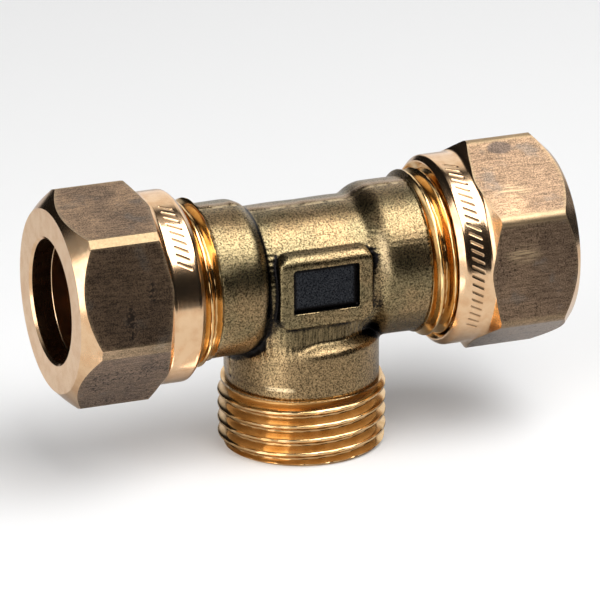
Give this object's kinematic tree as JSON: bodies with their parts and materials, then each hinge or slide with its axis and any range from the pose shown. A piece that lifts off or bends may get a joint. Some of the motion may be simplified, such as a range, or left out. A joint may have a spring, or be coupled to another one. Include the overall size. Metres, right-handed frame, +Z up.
{
  "type": "compression tee fitting",
  "caption": "Forged brass compression tee: pipe sockets at both ends of the run under hexagon nuts with compression rings, and a parallel male thread on the branch.",
  "frame": {"origin": "centre of the branch's end face, which the part stands on", "axes": "+Z up along the branch, +X along the run, -Y out of the raised panel"},
  "size_m": [0.0654, 0.0268, 0.0363],
  "materials": {
    "forged_brass": "sand-blasted forging with polished machined threads",
    "nut_brass": "turned faces and collar, raw drawn flats",
    "ring_brass": "bright turned"
  },
  "bodies": {
    "tee_body": {"tee_body": "forged_brass"},
    "left_ring": {"left_compression_ring": "ring_brass"},
    "left_nut": {"left_nut": "nut_brass"},
    "right_ring": {"right_compression_ring": "ring_brass"},
    "right_nut": {"right_nut": "nut_brass"}
  },
  "joints": [
    {"name": "left_ring_slide", "type": "slide", "parent": "tee_body", "child": "left_ring", "axis": [-1, 0, 0], "range_m": [0, 0.0082]},
    {"name": "left_nut_turn", "type": "hinge", "parent": "left_ring", "child": "left_nut", "pos_m": [0, 0, 0.0226], "axis": [-1, 0, 0], "range_deg": [0, 1620]},
    {"name": "right_ring_slide", "type": "slide", "parent": "tee_body", "child": "right_ring", "axis": [1, 0, 0], "range_m": [0, 0.0082]},
    {"name": "right_nut_turn", "type": "hinge", "parent": "right_ring", "child": "right_nut", "pos_m": [0, 0, 0.0226], "axis": [1, 0, 0], "range_deg": [0, 1620]}
  ],
  "couplings": [
    {"joint": "left_ring_slide", "follows": "left_nut_turn", "m_per_rad": 0.00028871},
    {"joint": "right_ring_slide", "follows": "right_nut_turn", "m_per_rad": 0.00028871}
  ]
}
